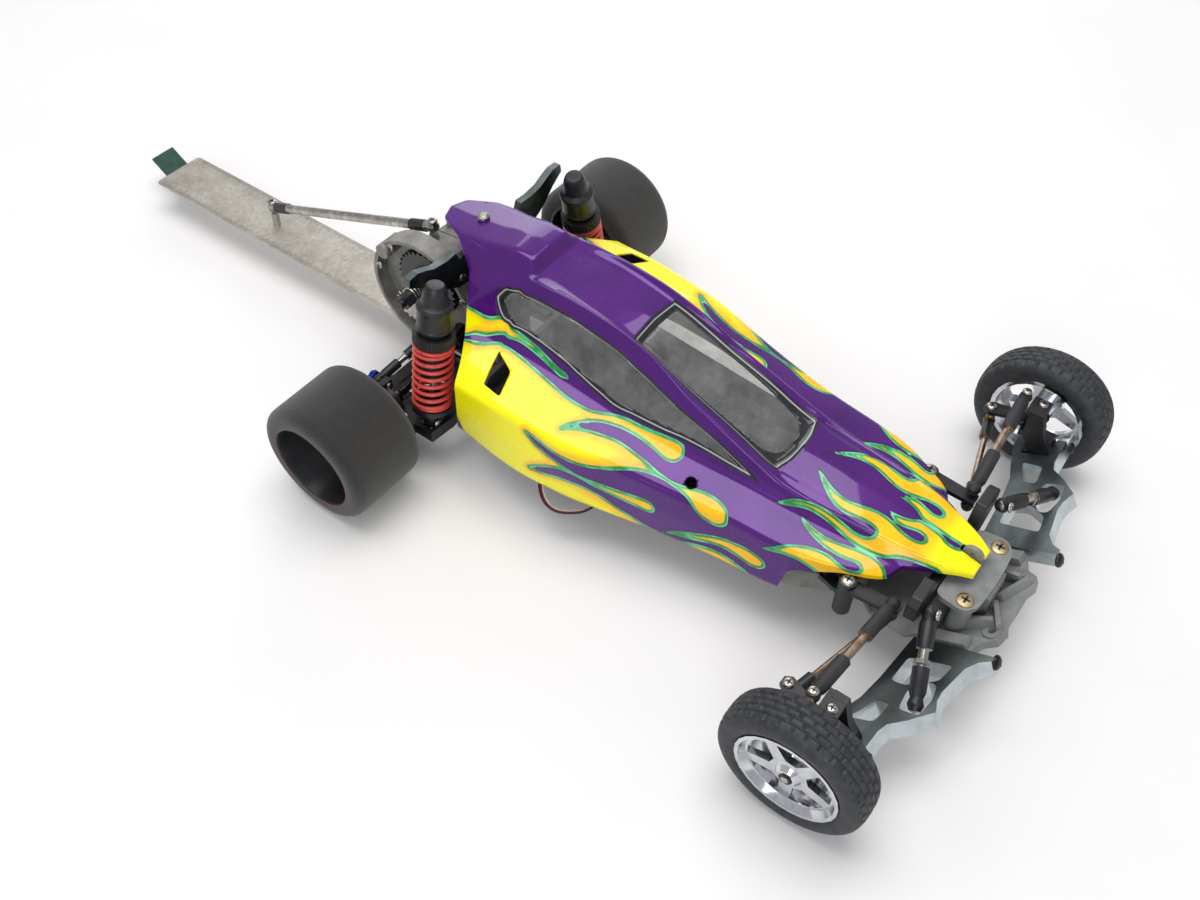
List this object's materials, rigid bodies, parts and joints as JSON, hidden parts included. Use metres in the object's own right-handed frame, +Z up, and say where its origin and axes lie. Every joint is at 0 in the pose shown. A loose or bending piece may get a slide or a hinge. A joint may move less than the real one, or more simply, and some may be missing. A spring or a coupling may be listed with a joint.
{
  "type": "electric rc drag buggy",
  "caption": "Electric rc buggy set up for drag racing: painted shell over a tub chassis, sprung rear arms, steered front wheels, geared drive and a ruler wheelie bar.",
  "frame": {"origin": "on the ground under the middle of the car's length and width", "axes": "+Z up, +Y towards the tail, +X to the car's left side"},
  "size_m": [0.2798, 0.6374, 0.1178],
  "materials": {
    "grey_plastic": "moulded grey nylon, matt",
    "black_plastic": "moulded black nylon, matt",
    "gunmetal_aluminium": "machined, grey-green anodised faces, bright cut edges",
    "steel": "plain steel, slightly worn",
    "chrome": "bright plated plastic",
    "tyre_rubber": "ribbed rubber, dusty",
    "foam_rubber": "ground foam rubber, matt",
    "red_spring": "powder-coated spring wire",
    "green_strip": "dark green flexible strip",
    "purple_paint": "polycarbonate painted inside, purple with yellow flames",
    "battery_sleeve": "shrink sleeve"
  },
  "bodies": {
    "chassis": {"chassis_tub": "grey_plastic", "front_bulkhead": "grey_plastic", "front_top_plate": "grey_plastic", "gearbox_half_right": "grey_plastic", "gearbox_half_left": "grey_plastic", "gear_housing": "grey_plastic", "rear_body_post": "grey_plastic", "battery_strap": "black_plastic", "speed_controller": "black_plastic", "receiver_box": "black_plastic", "steering_servo": "black_plastic", "servo_lead": "black_plastic", "front_shock_tower": "black_plastic", "rear_shock_tower": "gunmetal_aluminium", "drive_motor": "steel", "wheelie_bar": "steel", "wheelie_turnbuckle": "steel", "wheelie_strip": "green_strip", "battery_pack": "battery_sleeve", "front_arm_right": "gunmetal_aluminium", "front_lock_link_right": "black_plastic", "front_camber_link_right": "black_plastic", "front_caster_block_right": "black_plastic", "front_arm_left": "gunmetal_aluminium", "front_lock_link_left": "black_plastic", "front_camber_link_left": "black_plastic", "front_caster_block_left": "black_plastic"},
    "drag_link": {"steering_drag_link": "black_plastic"},
    "knuckle_right": {"front_knuckle_right": "black_plastic"},
    "crank_right": {"steering_crank_right": "black_plastic"},
    "steering_link_right": {"steering_link_right": "steel"},
    "front_wheel_right": {"front_wheel_right": "chrome", "front_tyre_right": "tyre_rubber"},
    "rear_arm_right": {"rear_arm_right": "black_plastic"},
    "carrier_right": {"rear_hub_carrier_right": "black_plastic"},
    "camber_link_right": {"rear_camber_link_right": "black_plastic"},
    "half_shaft_right": {"rear_half_shaft_right": "steel"},
    "shock_body_right": {"rear_shock_body_right": "black_plastic", "rear_spring_right": "red_spring"},
    "shock_rod_right": {"rear_shock_rod_right": "black_plastic"},
    "rear_wheel_right": {"rear_wheel_right": "black_plastic", "rear_tyre_right": "foam_rubber"},
    "knuckle_left": {"front_knuckle_left": "black_plastic"},
    "crank_left": {"steering_crank_left": "black_plastic"},
    "steering_link_left": {"steering_link_left": "steel"},
    "front_wheel_left": {"front_wheel_left": "chrome", "front_tyre_left": "tyre_rubber"},
    "rear_arm_left": {"rear_arm_left": "black_plastic"},
    "carrier_left": {"rear_hub_carrier_left": "black_plastic"},
    "camber_link_left": {"rear_camber_link_left": "black_plastic"},
    "half_shaft_left": {"rear_half_shaft_left": "steel"},
    "shock_body_left": {"rear_shock_body_left": "black_plastic", "rear_spring_left": "red_spring"},
    "shock_rod_left": {"rear_shock_rod_left": "black_plastic"},
    "rear_wheel_left": {"rear_wheel_left": "black_plastic", "rear_tyre_left": "foam_rubber"},
    "spur": {"spur_gear": "black_plastic"},
    "pinion": {"pinion_gear": "steel"},
    "body": {"body_shell": "purple_paint"},
    "body_screw": {"body_screw": "steel"}
  },
  "joints": [
    {"name": "steer_left", "type": "hinge", "parent": "chassis", "child": "knuckle_left", "pos_m": [0.1095, -0.2698, 0.043], "axis": [0, 0, 1], "range_deg": [-14, 14]},
    {"name": "steer_right", "type": "hinge", "parent": "chassis", "child": "knuckle_right", "pos_m": [-0.1095, -0.2698, 0.043], "axis": [0, 0, 1], "range_deg": [-15, 15]},
    {"name": "crank_turn_right", "type": "hinge", "parent": "chassis", "child": "crank_right", "pos_m": [-0.042, -0.2428, 0.04], "axis": [0, 0, 1], "range_deg": [-14, 14]},
    {"name": "link_swing_right", "type": "hinge", "parent": "crank_right", "child": "steering_link_right", "pos_m": [-0.0405, -0.266, 0.0396], "axis": [0, 0, 1], "range_deg": [-13, 13]},
    {"name": "crank_turn_left", "type": "hinge", "parent": "chassis", "child": "crank_left", "pos_m": [0.042, -0.2428, 0.04], "axis": [0, 0, 1], "range_deg": [-14, 14]},
    {"name": "link_swing_left", "type": "hinge", "parent": "crank_left", "child": "steering_link_left", "pos_m": [0.0405, -0.266, 0.0396], "axis": [0, 0, 1], "range_deg": [-13, 13]},
    {"name": "drag_link_shift", "type": "slide", "parent": "chassis", "child": "drag_link", "axis": [1, 0, 0], "range_m": [-0.0035, 0.0035]},
    {"name": "front_wheel_spin_right", "type": "hinge", "parent": "knuckle_right", "child": "front_wheel_right", "pos_m": [-0.1289, -0.2688, 0.0363], "axis": [1, 0, 0], "continuous": true},
    {"name": "front_wheel_spin_left", "type": "hinge", "parent": "knuckle_left", "child": "front_wheel_left", "pos_m": [0.1289, -0.2688, 0.0363], "axis": [1, 0, 0], "continuous": true},
    {"name": "rear_arm_swing_right", "type": "hinge", "parent": "chassis", "child": "rear_arm_right", "pos_m": [-0.03, 0.0122, 0.03], "axis": [0, 1, 0], "range_deg": [-7.5, 10], "stiffness_Nm_per_rad": 4.5, "springref_deg": -5.16},
    {"name": "carrier_tilt_right", "type": "hinge", "parent": "rear_arm_right", "child": "carrier_right", "pos_m": [-0.0825, 0.0172, 0.026], "axis": [0, 1, 0], "range_deg": [-11, 9]},
    {"name": "camber_swing_right", "type": "hinge", "parent": "chassis", "child": "camber_link_right", "pos_m": [-0.04, 0.0267, 0.046], "axis": [0, 1, 0], "range_deg": [-13, 16]},
    {"name": "shaft_swing_right", "type": "hinge", "parent": "chassis", "child": "half_shaft_right", "pos_m": [-0.0155, 0.0172, 0.038], "axis": [0, 1, 0], "range_deg": [-7, 9]},
    {"name": "shock_tilt_right", "type": "hinge", "parent": "chassis", "child": "shock_body_right", "pos_m": [-0.057, -0.0058, 0.1096], "axis": [0, 1, 0], "range_deg": [-1.2, 1.4]},
    {"name": "shock_stroke_right", "type": "slide", "parent": "shock_body_right", "child": "shock_rod_right", "axis": [-0.1841, 0, -0.9829], "range_m": [-0.0078, 0.0062], "deforming": ["rear_spring_right"]},
    {"name": "rear_wheel_spin_right", "type": "hinge", "parent": "carrier_right", "child": "rear_wheel_right", "pos_m": [-0.11515, 0.0172, 0.035], "axis": [1, 0, 0], "continuous": true},
    {"name": "rear_arm_swing_left", "type": "hinge", "parent": "chassis", "child": "rear_arm_left", "pos_m": [0.03, 0.0122, 0.03], "axis": [0, -1, 0], "range_deg": [-7.5, 10], "stiffness_Nm_per_rad": 4.5, "springref_deg": -5.16},
    {"name": "carrier_tilt_left", "type": "hinge", "parent": "rear_arm_left", "child": "carrier_left", "pos_m": [0.0825, 0.0172, 0.026], "axis": [0, -1, 0], "range_deg": [-11, 9]},
    {"name": "camber_swing_left", "type": "hinge", "parent": "chassis", "child": "camber_link_left", "pos_m": [0.04, 0.0267, 0.046], "axis": [0, -1, 0], "range_deg": [-13, 16]},
    {"name": "shaft_swing_left", "type": "hinge", "parent": "chassis", "child": "half_shaft_left", "pos_m": [0.0155, 0.0172, 0.038], "axis": [0, -1, 0], "range_deg": [-7, 9]},
    {"name": "shock_tilt_left", "type": "hinge", "parent": "chassis", "child": "shock_body_left", "pos_m": [0.057, -0.0058, 0.1096], "axis": [0, -1, 0], "range_deg": [-1.2, 1.4]},
    {"name": "shock_stroke_left", "type": "slide", "parent": "shock_body_left", "child": "shock_rod_left", "axis": [0.1841, 0, -0.9829], "range_m": [-0.0078, 0.0062], "deforming": ["rear_spring_left"]},
    {"name": "rear_wheel_spin_left", "type": "hinge", "parent": "carrier_left", "child": "rear_wheel_left", "pos_m": [0.11515, 0.0172, 0.035], "axis": [1, 0, 0], "continuous": true},
    {"name": "spur_spin", "type": "hinge", "parent": "chassis", "child": "spur", "pos_m": [-0.0224, 0.0352, 0.0715], "axis": [1, 0, 0], "continuous": true},
    {"name": "pinion_spin", "type": "hinge", "parent": "chassis", "child": "pinion", "pos_m": [-0.0224, 0.0517, 0.0471], "axis": [1, 0, 0], "continuous": true},
    {"name": "body_lift", "type": "slide", "parent": "chassis", "child": "body", "axis": [0, 0, 1], "range_m": [0, 0.06]},
    {"name": "screw_lift", "type": "slide", "parent": "body", "child": "body_screw", "axis": [0, 0, 1], "range_m": [0, 0.02]}
  ],
  "couplings": [
    {"joint": "steer_right", "follows": "steer_left", "ratio": 1},
    {"joint": "crank_turn_right", "follows": "steer_left", "ratio": -0.92},
    {"joint": "link_swing_right", "follows": "steer_left", "ratio": 0.81},
    {"joint": "crank_turn_left", "follows": "steer_left", "ratio": -0.92},
    {"joint": "link_swing_left", "follows": "steer_left", "ratio": 0.81},
    {"joint": "drag_link_shift", "follows": "steer_left", "m_per_rad": 0.012},
    {"joint": "carrier_tilt_right", "follows": "rear_arm_swing_right", "ratio": -1},
    {"joint": "camber_swing_right", "follows": "rear_arm_swing_right", "ratio": 1.48},
    {"joint": "shaft_swing_right", "follows": "rear_arm_swing_right", "ratio": 0.81},
    {"joint": "shock_tilt_right", "follows": "rear_arm_swing_right", "ratio": 0.101},
    {"joint": "shock_stroke_right", "follows": "rear_arm_swing_right", "m_per_rad": -0.0412},
    {"joint": "carrier_tilt_left", "follows": "rear_arm_swing_left", "ratio": -1},
    {"joint": "camber_swing_left", "follows": "rear_arm_swing_left", "ratio": 1.48},
    {"joint": "shaft_swing_left", "follows": "rear_arm_swing_left", "ratio": 0.81},
    {"joint": "shock_tilt_left", "follows": "rear_arm_swing_left", "ratio": 0.101},
    {"joint": "shock_stroke_left", "follows": "rear_arm_swing_left", "m_per_rad": -0.0412},
    {"joint": "pinion_spin", "follows": "spur_spin", "ratio": -2.1333}
  ]
}
